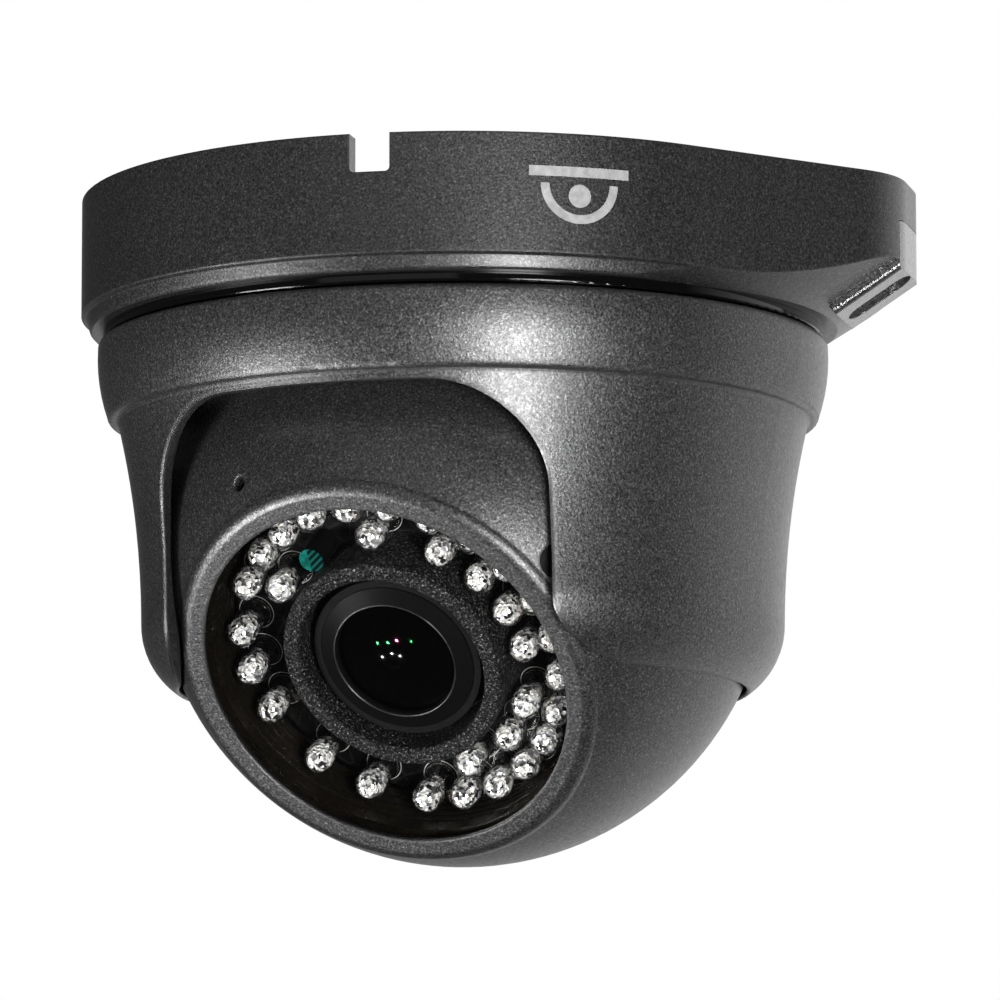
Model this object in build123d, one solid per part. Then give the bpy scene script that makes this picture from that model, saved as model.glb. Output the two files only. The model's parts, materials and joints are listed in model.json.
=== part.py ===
from build123d import *
import os
from math import cos, radians, sin, sqrt, tan

# Dome CCTV camera for a ceiling: a base, a yoke that pans under it, a ball that tilts in the
# yoke, and a varifocal camera with infrared LEDs that turns about its own axis in the ball.
# The origin is the centre of the ceiling plane, +Z is up, +X runs out through the base's nose
# and -Y through the cable notch. Sizes are in millimetres and degrees.

# Pose at rest
PAN_REST = 11.5          # the ball looks this far from -Y towards -X
TILT_REST = 37.5         # and this far below the horizon

# Base
BASE_R = 58.4
BASE_H = 20.05
BASE_WALL = 3.6
BASE_FLOOR = 3.55
BASE_LIP_R = 57.1
BASE_LIP_H = 2.4
BASE_LIP_STEP = 0.8      # the lip stands back from the wall, below a narrow bevel
BASE_LIP_EDGE = 0.35
NOSE_X = 69.5
NOSE_WALL_ANGLE = 42.0   # the nose's side walls touch the round body at this azimuth
NOSE_CORNER_R = 16.0
NOSE_SLOPE = 32.9        # the nose's underside is a cone about an upright axis
NOSE_CONE_X = 9.4        # where that axis stands
NOSE_TIP_Z = -12.25      # height of the cone at the nose's end wall
BLEND_ANGLE = 52.0       # azimuth where the cone has run out into the lip
NOTCH_W = 6.0
NOTCH_H = 5.7
EAR_R = 47.0
EAR_HALF_W = 5.5
EAR_H = 6.0
EAR_HOLE_R = 2.4
EAR_ANGLES = (90, 210, 330)
COVER_HALF_W = 7.5
COVER_T = 4.95
COVER_PROUD = 1.2        # the cover stands out of the cone
COVER_EDGE_R = 1.0
COVER_INNER_X = 58.6
JOINT_GAP = 0.15
COVER_SLOT_L = 11.2
COVER_SLOT_R = 2.5
COVER_SLOT_DEPTH = 1.8
COVER_SCREW_R = 1.9
COVER_SCREW_X = -2.9     # from the end wall, down the slope
COVER_SCREW_HEAD = 1.1
COVER_SCREW_SHANK_R = 1.2
COVER_SCREW_L = 4.6
COVER_PILOT_R = 1.3
COVER_PILOT_DEPTH = 9.0

# Pan bearing
NECK_R = 51.2
NECK_BORE_R = 47.4
NECK_TOP_Z = -15.95
RUNNING_GAP = 0.05
SEAL_R = 55.1
SEAL_BORE_R = 51.7
SEAL_BOTTOM_Z = -21.5
RETAINER_R = 53.6
RETAINER_T = 2.35
RETAINER_SCREW_CIRCLE = 49.3
RETAINER_SCREWS = 6

# Yoke
YOKE_TOP_Z = -21.8
BAND_R = 55.8
BAND_BOTTOM_Z = -33.8
SKIRT_TOP_R = 52.6
SKIRT_R = 48.95
SKIRT_STRAIGHT_Z = -65.0
YOKE_BOTTOM_Z = -75.0
YOKE_INNER_R = 47.6
WINDOW_HALF_W = 31.7
WINDOW_TOP_Z = -35.2
WINDOW_CORNER_R = 15.0
ARM_FOOT_R = 9.0
ARM_FOOT_H = 7.8
YOKE_SCREW_L = 7.2
YOKE_SCREW_HOLE = 5.5

# Ball
BALL_Z = -54.5
BALL_R = 47.0
BALL_INNER_R = 44.8
BALL_FLAT_X = 44.2
PAD_INNER_X = 42.0
SEAM_Z = -20.0
SEAM_GASKET_T = 0.6
BEZEL_Z = 35.0
BEZEL_FLAT_R = 31.0
BEZEL_EDGE_R = 33.0
APERTURE_R = 28.7
WINDOW_SEAT_Z = 33.9
WINDOW_SEAL_T = 0.3
GLASS_R = 30.2
GLASS_T = 1.6
WINDOW_BORE_R = 30.4
WINDOW_TUBE_R = 32.4
WINDOW_TUBE_Z = 22.6
CAP_FLAT_Z = -38.0
CAP_INNER_Z = -36.0
CAP_SCREW_CIRCLE = 36.4
CAP_SCREW_SEAT_Z = -24.6
CAP_SCREW_ANGLES = (45, 135, 225, 315)
CAP_SCREW_L = 13.0
CAP_BOSS_R = 3.2
CAP_BOSS_BACK_Z = -31.0
POST_R = 3.0
POST_RIB_L = 8.0
POST_RIB_T = 2.4
CAP_POST_FRONT_Z = -8.0
GLAND_BORE_R = 2.4
GLAND_R = 4.0
GLAND_FLANGE_R = 6.5
GLAND_FLANGE_T = 2.2
GLAND_THREAD_L = 4.0
NUT_R = 7.2
NUT_T = 2.8

# Small bores in the ball's front: angle from the optical axis, then anticlockwise from the right
SET_SCREW_POLAR = 49.4
SET_SCREW_CLOCK = 117
SET_SCREW_R = 1.2
SET_SCREW_DEPTH = 3.5
PLUG_POLAR = 48.0
PLUG_CLOCK = 27
PLUG_R = 2.5
PLUG_DEPTH = 1.4

# Tilt pivots
PIN_R = 3.0
PIN_INNER_X = 38.7
PIN_OUTER_X = 47.4
BUSH_R = 5.0
PIVOT_BOSS_R = 8.0
PIVOT_BOSS_X = 38.5
YOKE_BOSS_R = 7.5
YOKE_BOSS_X = 45.1

# Turntable that carries the camera in the ball
GUIDE_R = 42.0
GUIDE_BORE_R = 33.0
GUIDE_LIP_R = 31.4
GUIDE_BACK_Z = 8.8
GUIDE_SEAT_Z = 10.0
GUIDE_FRONT_Z = 13.0
GUIDE_SCREW_CIRCLE = 38.5
GUIDE_SCREW_ANGLES = (90, 210, 330)
GUIDE_SCREW_L = 9.5
GUIDE_COUNTERBORE = 1.4
GUIDE_POST_FRONT_Z = 27.0
GUIDE_CLIP_R = 35.0
GUIDE_CLIP_T = 0.9
TURNTABLE_BACK_Z = 10.1
TURNTABLE_FRONT_Z = 12.9
TURNTABLE_HOLE_R = 15.5

# Infrared board
IR_BOARD_R = 28.3
IR_BOARD_HOLE_R = 14.3
IR_BOARD_BACK_Z = 20.4
IR_BOARD_FRONT_Z = 22.0
IR_STANDOFF_CIRCLE = 24.0
IR_STANDOFF_ANGLES = (30, 150, 270)
TURNTABLE_SCREW_L = 6.6
LED_R = 2.45
LED_RIM_R = 2.48
LED_RIM_H = 1.0
SENSOR_R = 1.9
SENSOR_H = 6.2
LED_H = 8.6
OUTER_LED_CIRCLE = 25.3
INNER_LED_CIRCLE = 20.3
# Clockwise from the right as seen from the front. The gaps clear the board's connectors.
OUTER_LED_ANGLES = (12, 27, 40, 54, 68, 82, 96, 117, 137, 161, 177, 192,
                    212, 226, 239, 252, 267, 282, 297, 312, 327, 342, 357)
INNER_LED_ANGLES = (0, 29, 48, 73, 218, 273, 304, 324, 342)
SENSOR_CIRCLE = 19.4
SENSOR_ANGLE = 240
COLLAR_R = 17.3
COLLAR_BORE_R = 14.5
COLLAR_FRONT_Z = 31.9
COLLAR_EDGE_R = 0.7

# Varifocal lens
FOCUS_R = 13.2
ZOOM_R = 14.2
RING_BORE_R = 10.0
LENS_TUBE_R = 9.9
LENS_TUBE_BORE_R = 8.2
ELEMENT_R = 8.0
FRONT_GLASS_R = 9.6
LENS_RING_R = 12.1
LENS_RING_H = 1.1
FOCUS_BACK_Z = 13.5
FOCUS_FRONT_Z = 29.2
ZOOM_BACK_Z = -2.6
ZOOM_FRONT_Z = 8.6
FOCUS_KNOB_Z = 16.7
ZOOM_KNOB_Z = 3.5
FOCUS_GRIPS = 36
GRIP_BACK_Z = 18.8
GRIP_FRONT_Z = 21.8
FRONT_GLASS_Z = 28.1
MIDDLE_ELEMENT_Z = 19.0
REAR_ELEMENT_Z = 1.0
IRIS_Z = 14.6
IRIS_R = 3.2
IRIS_T = 0.4
LENS_TUBE_BACK_Z = -4.0
LENS_TUBE_FRONT_Z = 27.4
REAR_FLANGE_R = 12.8
KNOB_R = 2.1
KNOB_L = 5.35
KNOB_SHANK_R = 1.1
KNOB_FLUTES = 8

# Circuit boards
BOARD_SIDE = 40.0
BOARD_T = 1.6
BOARD_HOLE_XY = 16.0
MAIN_BOARD_Z = -14.0
POWER_BOARD_Z = -24.6
BOARD_SCREW_L = 6.0
HOLDER_SIDE = 22.0
HOLDER_WALL = 2.0
HOLDER_FRONT_Z = -4.0
HOLDER_BORE_R = 7.0
FILTER_SIDE = 16.0
FILTER_FRONT_Z = -6.6
FILTER_T = 1.0
IMAGE_SENSOR = (9.4, 8.2, 1.5)
# Length, width, height and distance from the board's middle
MAIN_SOCKET = (11.0, 4.5, 5.0, 12.0)
POWER_SOCKET = (13.0, 5.5, 5.6, -11.0)
IR_SOCKET = (6.0, 4.0, 3.2, 22.5)

# Screws and standoffs
SCREW_HEAD_R = 2.0
SCREW_HEAD_H = 1.2
SCREW_SOCKET_R = 1.0
SCREW_R = 0.98
PILOT_R = 1.02
CLEARANCE_R = 1.2
COUNTERBORE_R = 2.25
BOARD_SCREW_R = 1.1
STANDOFF_BORE_R = 1.15
STANDOFF_R = 2.5

FROM_LOW = (Align.CENTER, Align.CENTER, Align.MIN)
FROM_HIGH = (Align.CENTER, Align.CENTER, Align.MAX)


def disc(radius, z_low, z_high, x=0.0, y=0.0):
    """Solid round bar along Z between two heights."""
    return Pos(x, y, z_low) * Cylinder(radius, z_high - z_low, align=FROM_LOW)


def ring(r_in, r_out, z_low, z_high):
    """Flat ring about Z between two heights."""
    return disc(r_out, z_low, z_high) - disc(r_in, z_low - 1, z_high + 1)


def block(size_x, size_y, z_low, z_high, x=0.0, y=0.0):
    """Rectangular block between two heights."""
    return Pos(x, y, z_low) * Box(size_x, size_y, z_high - z_low, align=FROM_LOW)


def across(radius, x_low, x_high):
    """Solid round bar along X."""
    return Rot(0, 90, 0) * disc(radius, x_low, x_high)


def turned(outline):
    """Solid of revolution about Z of a closed outline drawn as (radius, height)."""
    return revolve(make_face(Plane.XZ * outline), Axis.Z)


def around(shape, angles, radius=0.0):
    """Copies of a shape set round Z at a radius."""
    return [Rot(0, 0, angle) * Pos(radius, 0, 0) * shape for angle in angles]


def group(solids):
    """One node made of several separate solids."""
    return Part() + solids


def on_sphere(radius, z):
    """Point (radius, height) of a sphere's outline at a height above its centre."""
    return (sqrt(radius ** 2 - z ** 2), z)


def screw(shank_r, shank_l, head_r=SCREW_HEAD_R, head_h=SCREW_HEAD_H):
    """Screw along +Z: its head stands below the origin plane and has a hexagon socket."""
    solid = disc(head_r, -head_h, 0) + disc(shank_r, 0, shank_l)
    socket = Pos(0, 0, -head_h) * extrude(RegularPolygon(SCREW_SOCKET_R, 6), head_h * 0.6)
    return solid - socket


def in_pan(shape):
    """From the yoke's own frame, which looks along -Y, to the part's frame."""
    return Rot(0, 0, -PAN_REST) * shape


def in_ball(shape):
    """From the ball's frame, with its optical axis on +Z and its up on +Y, to the part's frame."""
    return in_pan(Pos(0, 0, BALL_Z) * Rot(90 + TILT_REST, 0, 0) * shape)


# ---------------------------------------------------------------- base

def nose_plan(inset):
    """Plan of the nose: side walls tangent to the round body and a flat end with round corners."""
    wall = radians(NOSE_WALL_ANGLE)
    tangent_x = (BASE_R - inset) * cos(wall)
    tangent_y = (BASE_R - inset) * sin(wall)
    end_x = NOSE_X - inset
    end_y = tangent_y - (end_x - tangent_x) / tan(wall)
    outline = Polyline((0, 0), (tangent_x, -tangent_y), (end_x, -end_y), (end_x, end_y),
                       (tangent_x, tangent_y), (0, 0))
    plan = make_face(outline)
    return fillet(plan.vertices().group_by(Axis.X)[-1], NOSE_CORNER_R - inset)


def wedge(start, stop):
    """Tall wedge about Z between two azimuths, longer than the nose."""
    reach = 100.0
    corners = [(reach * cos(radians(angle)), reach * sin(radians(angle))) for angle in (start, stop)]
    return extrude(make_face(Polyline((0, 0), *corners, (0, 0))), amount=60, both=True)


def nose_cone_z(x, y):
    """Height of the nose's conical underside."""
    outward = sqrt((x - NOSE_CONE_X) ** 2 + y ** 2) - (NOSE_X - NOSE_CONE_X)
    return NOSE_TIP_Z + tan(radians(NOSE_SLOPE)) * outward


def above_nose_cone(rise):
    """Everything above the nose's underside raised by a height, as a cone standing on its tip."""
    height = 60.0
    body = Cone(0, height / tan(radians(NOSE_SLOPE)), height, align=FROM_LOW)
    return Pos(NOSE_CONE_X, 0, nose_cone_z(NOSE_CONE_X, 0) + rise) * body


def on_base(radius, azimuth, z=None):
    """Point at a radius and azimuth, on the cone unless a height is given."""
    x = radius * cos(radians(azimuth))
    y = radius * sin(radians(azimuth))
    return Vector(x, y, nose_cone_z(x, y) if z is None else z)


def below_lip_blend(hand):
    """Space under the small facet that runs the cone out into the lip on one side of the nose."""
    wall_foot = on_base(BASE_R, hand * NOSE_WALL_ANGLE)
    cone_foot = on_base(SEAL_R, hand * NOSE_WALL_ANGLE)
    lip_foot = on_base(BASE_LIP_R, hand * BLEND_ANGLE, -BASE_H)
    up = (cone_foot - wall_foot).cross(lip_foot - wall_foot) * -hand
    below = Plane(origin=wall_foot, z_dir=up) * Box(80, 80, 20, align=FROM_HIGH)
    start, stop = sorted((hand * NOSE_WALL_ANGLE, hand * BLEND_ANGLE))
    return below & wedge(start, stop)


def cover_plane():
    """Plane of the nose's underside at its middle: origin at the end wall, X up the slope, Z outwards."""
    slope = radians(NOSE_SLOPE)
    return Plane(origin=(NOSE_X, 0, NOSE_TIP_Z), x_dir=(cos(slope), 0, sin(slope)),
                 z_dir=(sin(slope), 0, -cos(slope)))


def cover_slab(gap):
    """Slab let into the nose's underside, grown by a gap on its hidden faces."""
    length = (NOSE_X - COVER_INNER_X) / cos(radians(NOSE_SLOPE))
    slab = Box(length + 10 + gap, 2 * (COVER_HALF_W + gap), COVER_T + COVER_PROUD + gap,
               align=(Align.MAX, Align.CENTER, Align.MAX))
    slab = fillet(slab.edges().filter_by(Axis.X).group_by(Axis.Z)[-1], COVER_EDGE_R)
    return cover_plane() * Pos(10, 0, COVER_PROUD) * slab


def mounting_ear():
    """Lug on the inside of the wall, drawn at azimuth 0, with a screw hole to the ceiling."""
    reach = BASE_R - 1 - EAR_R
    lug = disc(EAR_HALF_W, -EAR_H, 0, EAR_R)
    return lug + block(reach, 2 * EAR_HALF_W, -EAR_H, 0, EAR_R + reach / 2)


def base_housing():
    lip_top_z = BASE_LIP_H - BASE_H
    round_outline = Polyline((0, 0), (BASE_R, 0), (BASE_R, lip_top_z),
                             (BASE_R - BASE_LIP_STEP, lip_top_z - 0.5 * BASE_LIP_STEP),
                             (BASE_LIP_R, BASE_LIP_EDGE - BASE_H),
                             (BASE_LIP_R - BASE_LIP_EDGE, -BASE_H), (0, -BASE_H), (0, 0))
    under_nose = wedge(-NOSE_WALL_ANGLE, NOSE_WALL_ANGLE) - above_nose_cone(0)
    under_cover = Box(60, 2 * COVER_HALF_W + 5, 30, align=FROM_LOW)
    cover_seat = cover_plane() * Pos(0, 0, -COVER_T - 2.5) * under_cover
    nose_room = extrude(nose_plan(BASE_WALL), amount=BASE_FLOOR - BASE_H)
    nose_room = (nose_room & above_nose_cone(BASE_FLOOR * 1.2)) - cover_seat
    body = turned(round_outline) + extrude(nose_plan(0), amount=-BASE_H)
    body -= [under_nose, below_lip_blend(1), below_lip_blend(-1)]
    body -= disc(BASE_R - BASE_WALL, BASE_FLOOR - BASE_H, 1)
    body -= nose_room
    body -= disc(NECK_R + RUNNING_GAP, -BASE_H - 1, 1)
    body += around(mounting_ear(), EAR_ANGLES)
    body -= around(disc(EAR_HOLE_R, -EAR_H - 1, 1), EAR_ANGLES, EAR_R)
    notch = block(NOTCH_W, 20, -NOTCH_H, 1, 0, -BASE_R)
    body -= fillet(notch.edges().filter_by(Axis.Y).group_by(Axis.Z)[0], 0.7)
    body -= cover_slab(JOINT_GAP)
    return body - cover_plane() * cover_screw_hole(COVER_PILOT_R, COVER_PILOT_DEPTH)


def cover_screw_hole(radius, depth):
    """Bore for the nose screw, at the outer end of the cover's oval recess."""
    return disc(radius, -depth, COVER_PROUD + 1, COVER_SCREW_X)


def nose_cover():
    slab = cover_slab(0) & extrude(nose_plan(0), amount=-2 * BASE_H)
    length = (NOSE_X - COVER_INNER_X) / cos(radians(NOSE_SLOPE))
    oval = extrude(SlotOverall(COVER_SLOT_L, 2 * COVER_SLOT_R), 5)
    slab -= cover_plane() * Pos(-length / 2, 0, COVER_PROUD - COVER_SLOT_DEPTH) * oval
    seat = COVER_SLOT_DEPTH - COVER_PROUD + COVER_SCREW_HEAD
    slab -= cover_plane() * cover_screw_hole(COVER_SCREW_R + 0.1, seat)
    return slab - cover_plane() * cover_screw_hole(COVER_PILOT_R, COVER_PILOT_DEPTH)


def nose_cover_screw():
    solid = screw(COVER_SCREW_SHANK_R, COVER_SCREW_L, COVER_SCREW_R, COVER_SCREW_HEAD + 0.5)
    seat = COVER_PROUD - COVER_SLOT_DEPTH - COVER_SCREW_HEAD
    return cover_plane() * Pos(COVER_SCREW_X, 0, seat) * Rot(180, 0, 0) * solid


def swivel_seal():
    body = ring(SEAL_BORE_R, SEAL_R, SEAL_BOTTOM_Z, -BASE_H)
    return fillet(body.edges().sort_by(Axis.Z)[:1].sort_by(SortBy.RADIUS)[-1:], 0.35)


def slip_ring():
    return ring(NECK_R + 0.4, RETAINER_R + 0.6, BASE_FLOOR - BASE_H, BASE_FLOOR - BASE_H + 0.4)


# ---------------------------------------------------------------- yoke

def yoke_shell():
    """Band, skirt and bearing neck as one turned shell."""
    skirt_mid = ((SKIRT_TOP_R + 3 * SKIRT_R) / 4 + 0.05, (BAND_BOTTOM_Z + SKIRT_STRAIGHT_Z) / 2)
    lip_sphere_z = YOKE_BOTTOM_Z + 0.3 - BALL_Z
    lip_r = on_sphere(YOKE_INNER_R, lip_sphere_z)[0]
    outer = (
        Polyline((NECK_BORE_R, NECK_TOP_Z), (NECK_R, NECK_TOP_Z), (NECK_R, YOKE_TOP_Z),
                 (BAND_R - 0.8, YOKE_TOP_Z))
        + ThreePointArc((BAND_R - 0.8, YOKE_TOP_Z), (BAND_R - 0.22, YOKE_TOP_Z - 0.26),
                        (BAND_R, YOKE_TOP_Z - 0.9))
        + ThreePointArc((BAND_R, YOKE_TOP_Z - 0.9), (BAND_R - 0.3, YOKE_TOP_Z - 6.6),
                        (BAND_R - 1.45, BAND_BOTTOM_Z + 0.8))
        + ThreePointArc((BAND_R - 1.45, BAND_BOTTOM_Z + 0.8), (BAND_R - 1.7, BAND_BOTTOM_Z + 0.25),
                        (BAND_R - 2.3, BAND_BOTTOM_Z))
        + Line((BAND_R - 2.3, BAND_BOTTOM_Z), (SKIRT_TOP_R + 0.4, BAND_BOTTOM_Z))
        + ThreePointArc((SKIRT_TOP_R + 0.4, BAND_BOTTOM_Z), (SKIRT_TOP_R + 0.1, BAND_BOTTOM_Z - 0.15),
                        (SKIRT_TOP_R, BAND_BOTTOM_Z - 0.5))
        + ThreePointArc((SKIRT_TOP_R, BAND_BOTTOM_Z - 0.5), skirt_mid, (SKIRT_R, SKIRT_STRAIGHT_Z))
        + ThreePointArc((SKIRT_R, SKIRT_STRAIGHT_Z), (SKIRT_R - 1.5, SKIRT_STRAIGHT_Z - 5.8),
                        (lip_r + 0.55, YOKE_BOTTOM_Z))
        + ThreePointArc((lip_r + 0.55, YOKE_BOTTOM_Z), (lip_r + 0.12, YOKE_BOTTOM_Z + 0.02),
                        (lip_r, YOKE_BOTTOM_Z + 0.3))
    )
    inner = (
        ThreePointArc((lip_r, YOKE_BOTTOM_Z + 0.3),
                      (on_sphere(YOKE_INNER_R, lip_sphere_z / 2)[0], BALL_Z + lip_sphere_z / 2),
                      (YOKE_INNER_R, BALL_Z))
        + Line((YOKE_INNER_R, BALL_Z), (YOKE_INNER_R, BALL_Z + 4.5))
        + ThreePointArc((YOKE_INNER_R, BALL_Z + 4.5), (YOKE_INNER_R + 1.0, BALL_Z + 12),
                        (SKIRT_TOP_R - 2.2, WINDOW_TOP_Z - 0.8))
        + Polyline((SKIRT_TOP_R - 2.2, WINDOW_TOP_Z - 0.8), (SKIRT_TOP_R, BAND_BOTTOM_Z + 1.8),
                   (BAND_R - 2.2, YOKE_TOP_Z - 2.6), (NECK_BORE_R, YOKE_TOP_Z - 2.6),
                   (NECK_BORE_R, NECK_TOP_Z))
    )
    return turned(outer + inner)


def front_window():
    """Space cut from the front of the skirt, open at the bottom, with rounded arm feet."""
    foot_z = YOKE_BOTTOM_Z + ARM_FOOT_H
    height = WINDOW_TOP_Z - YOKE_BOTTOM_Z + 20
    opening = Pos(0, WINDOW_TOP_Z - height / 2) * Rectangle(2 * WINDOW_HALF_W, height)
    opening = fillet(opening.vertices().group_by(Axis.Y)[-1], WINDOW_CORNER_R)
    for hand in (1, -1):
        foot_x = hand * (WINDOW_HALF_W + ARM_FOOT_R)
        corner = Pos(hand * (WINDOW_HALF_W + ARM_FOOT_R / 2), foot_z - 10) * Rectangle(ARM_FOOT_R, 20)
        opening += corner - Pos(foot_x, foot_z) * Circle(ARM_FOOT_R)
    return extrude(Plane.XZ * opening, amount=60)


def yoke_housing():
    body = yoke_shell() - front_window()
    for hand in (1, -1):
        boss = Rot(0, 0, 90 - 90 * hand) * across(YOKE_BOSS_R, YOKE_BOSS_X, YOKE_INNER_R + 0.8)
        bore = Rot(0, 0, 90 - 90 * hand) * across(PIN_R + 0.02, YOKE_BOSS_X - 1, PIN_OUTER_X + 0.1)
        body += Pos(0, 0, BALL_Z) * boss
        body -= Pos(0, 0, BALL_Z) * bore
    screw_angles = range(0, 360, 360 // RETAINER_SCREWS)
    pilot = disc(PILOT_R, NECK_TOP_Z - YOKE_SCREW_HOLE, NECK_TOP_Z + 1)
    return in_pan(body - around(pilot, screw_angles, RETAINER_SCREW_CIRCLE))


def yoke_retainer_ring():
    top_z = NECK_TOP_Z + RETAINER_T
    body = ring(NECK_BORE_R, RETAINER_R, NECK_TOP_Z, top_z)
    screw_angles = range(0, 360, 360 // RETAINER_SCREWS)
    hole = disc(CLEARANCE_R, NECK_TOP_Z - 1, top_z + 1)
    return body - around(hole, screw_angles, RETAINER_SCREW_CIRCLE)


def yoke_retainer_screws():
    one = Pos(0, 0, NECK_TOP_Z + RETAINER_T) * Rot(180, 0, 0) * screw(SCREW_R, YOKE_SCREW_L)
    return group(around(one, range(0, 360, 360 // RETAINER_SCREWS), RETAINER_SCREW_CIRCLE))


def pivot_side(shape, hand):
    """A piece drawn along +X set on the left or right tilt pivot, in the yoke's frame."""
    return in_pan(Pos(0, 0, BALL_Z) * Rot(0, 0, 90 - 90 * hand) * shape)


def tilt_pin():
    return chamfer(across(PIN_R, PIN_INNER_X, PIN_OUTER_X).edges().filter_by(GeomType.CIRCLE), 0.4)


def tilt_washer():
    return across(YOKE_BOSS_R, BALL_FLAT_X + 0.15, YOKE_BOSS_X) - across(PIN_R + 0.1, 40, 50)


# ---------------------------------------------------------------- ball

def side_flats(outer):
    """A ball cut flat on both sides where the pivots are."""
    return outer & Box(2 * BALL_FLAT_X, 120, 120)


def screw_post(angle, circle, z_low, z_high):
    """Screw post tied to the shell's wall by a rib."""
    post = disc(POST_R, z_low, z_high, circle)
    rib = block(POST_RIB_L, POST_RIB_T, z_low, z_high, circle + POST_RIB_L / 2)
    return Rot(0, 0, angle) * (post + rib)


def ball_shell():
    seam_out = on_sphere(BALL_R, SEAM_Z)
    bezel_edge = (BEZEL_EDGE_R, sqrt(BALL_R ** 2 - BEZEL_EDGE_R ** 2))
    outline = (
        Polyline((0, BEZEL_Z), (0, SEAM_Z), seam_out)
        + ThreePointArc(seam_out, (BALL_R, 0), bezel_edge)
        + ThreePointArc(bezel_edge, (32.3, 34.42), (BEZEL_FLAT_R, BEZEL_Z))
        + Line((BEZEL_FLAT_R, BEZEL_Z), (0, BEZEL_Z))
    )
    room = Sphere(BALL_INNER_R) & block(2 * PAD_INNER_X, 100, SEAM_Z - 1, 50)
    room -= ring(WINDOW_BORE_R, WINDOW_TUBE_R, WINDOW_TUBE_Z, 50)
    body = side_flats(turned(outline)) - room
    body -= disc(WINDOW_BORE_R, WINDOW_TUBE_Z, WINDOW_SEAT_Z)
    body -= disc(APERTURE_R, WINDOW_SEAT_Z - 1, BEZEL_Z + 1)
    posts = [screw_post(angle, GUIDE_SCREW_CIRCLE, GUIDE_FRONT_Z, GUIDE_POST_FRONT_Z)
             for angle in GUIDE_SCREW_ANGLES]
    posts += [screw_post(angle, CAP_SCREW_CIRCLE, SEAM_Z, CAP_POST_FRONT_Z)
              for angle in CAP_SCREW_ANGLES]
    body += (Part() + posts) & Sphere(BALL_R - 1.2)
    for hand in (0, 180):
        body += Rot(0, 0, hand) * across(PIVOT_BOSS_R, PIVOT_BOSS_X, BALL_FLAT_X - 0.5)
        body -= Rot(0, 0, hand) * across(BUSH_R + 0.02, PIVOT_BOSS_X - 1, BALL_FLAT_X + 1)
    guide_pilot = disc(PILOT_R, GUIDE_FRONT_Z - 1, GUIDE_POST_FRONT_Z - 5)
    cap_pilot = disc(PILOT_R, SEAM_Z - 1, CAP_POST_FRONT_Z - 2)
    body -= around(guide_pilot, GUIDE_SCREW_ANGLES, GUIDE_SCREW_CIRCLE)
    body -= around(cap_pilot, CAP_SCREW_ANGLES, CAP_SCREW_CIRCLE)
    body -= in_wall(disc(SET_SCREW_R, -SET_SCREW_DEPTH, 1), SET_SCREW_POLAR, SET_SCREW_CLOCK)
    return body - in_wall(disc(PLUG_R, -PLUG_DEPTH, 1), PLUG_POLAR, PLUG_CLOCK)


def in_wall(shape, polar, clock):
    """A piece drawn with its mouth at Z = 0 set into the ball's outer surface."""
    return Rot(0, 0, clock) * Rot(0, polar, 0) * Pos(0, 0, BALL_R) * shape


def set_screw():
    body = disc(SET_SCREW_R - 0.05, 0.5 - SET_SCREW_DEPTH, -1.0)
    body -= Pos(0, 0, -1.8) * extrude(RegularPolygon(SET_SCREW_R / 2, 6), 1)
    return in_wall(body, SET_SCREW_POLAR, SET_SCREW_CLOCK)


def side_plug():
    return in_wall(disc(PLUG_R - 0.05, -PLUG_DEPTH, -0.35), PLUG_POLAR, PLUG_CLOCK)


def ball_rear_cap():
    front_z = SEAM_Z - SEAM_GASKET_T
    seam_out = on_sphere(BALL_R, front_z)
    seam_in = on_sphere(BALL_INNER_R, front_z)
    flat_out = on_sphere(BALL_R, CAP_FLAT_Z)
    flat_in = on_sphere(BALL_INNER_R, CAP_INNER_Z)
    outline = (
        ThreePointArc(seam_out, on_sphere(BALL_R, -30), flat_out)
        + Polyline(flat_out, (0, CAP_FLAT_Z), (0, CAP_INNER_Z), flat_in)
        + ThreePointArc(flat_in, on_sphere(BALL_INNER_R, -29), seam_in)
        + Line(seam_in, seam_out)
    )
    body = turned(outline)
    boss = disc(CAP_BOSS_R, CAP_BOSS_BACK_Z, front_z)
    hole = disc(CLEARANCE_R, CAP_BOSS_BACK_Z - 1, front_z + 1)
    hole += disc(COUNTERBORE_R, CAP_FLAT_Z - 2, CAP_SCREW_SEAT_Z)
    bosses = around(boss, CAP_SCREW_ANGLES, CAP_SCREW_CIRCLE)
    body += (Part() + bosses) & Sphere(BALL_R - 0.8)
    body -= around(hole, CAP_SCREW_ANGLES, CAP_SCREW_CIRCLE)
    return body - disc(GLAND_R + 0.1, CAP_FLAT_Z - 1, CAP_INNER_Z + 1)


def rear_cap_seal():
    inner = on_sphere(BALL_INNER_R, SEAM_Z)[0] + 0.2
    outer = on_sphere(BALL_R, SEAM_Z)[0] - 0.4
    return ring(inner, outer, SEAM_Z - SEAM_GASKET_T, SEAM_Z)


def rear_cap_screws():
    one = Pos(0, 0, CAP_SCREW_SEAT_Z) * screw(SCREW_R, CAP_SCREW_L)
    return group(around(one, CAP_SCREW_ANGLES, CAP_SCREW_CIRCLE))


def cable_gland():
    body = disc(GLAND_FLANGE_R, CAP_FLAT_Z - GLAND_FLANGE_T, CAP_FLAT_Z)
    body += disc(GLAND_R, CAP_FLAT_Z - 1, CAP_INNER_Z + GLAND_THREAD_L)
    return body - disc(GLAND_BORE_R, CAP_FLAT_Z - 5, 0)


def cable_gland_nut():
    nut = Pos(0, 0, CAP_INNER_Z) * extrude(RegularPolygon(NUT_R, 6), NUT_T)
    return nut - disc(GLAND_R + 0.1, CAP_INNER_Z - 1, 0)


def window_seal():
    return ring(APERTURE_R + 0.2, GLASS_R, WINDOW_SEAT_Z - WINDOW_SEAL_T, WINDOW_SEAT_Z)


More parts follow.
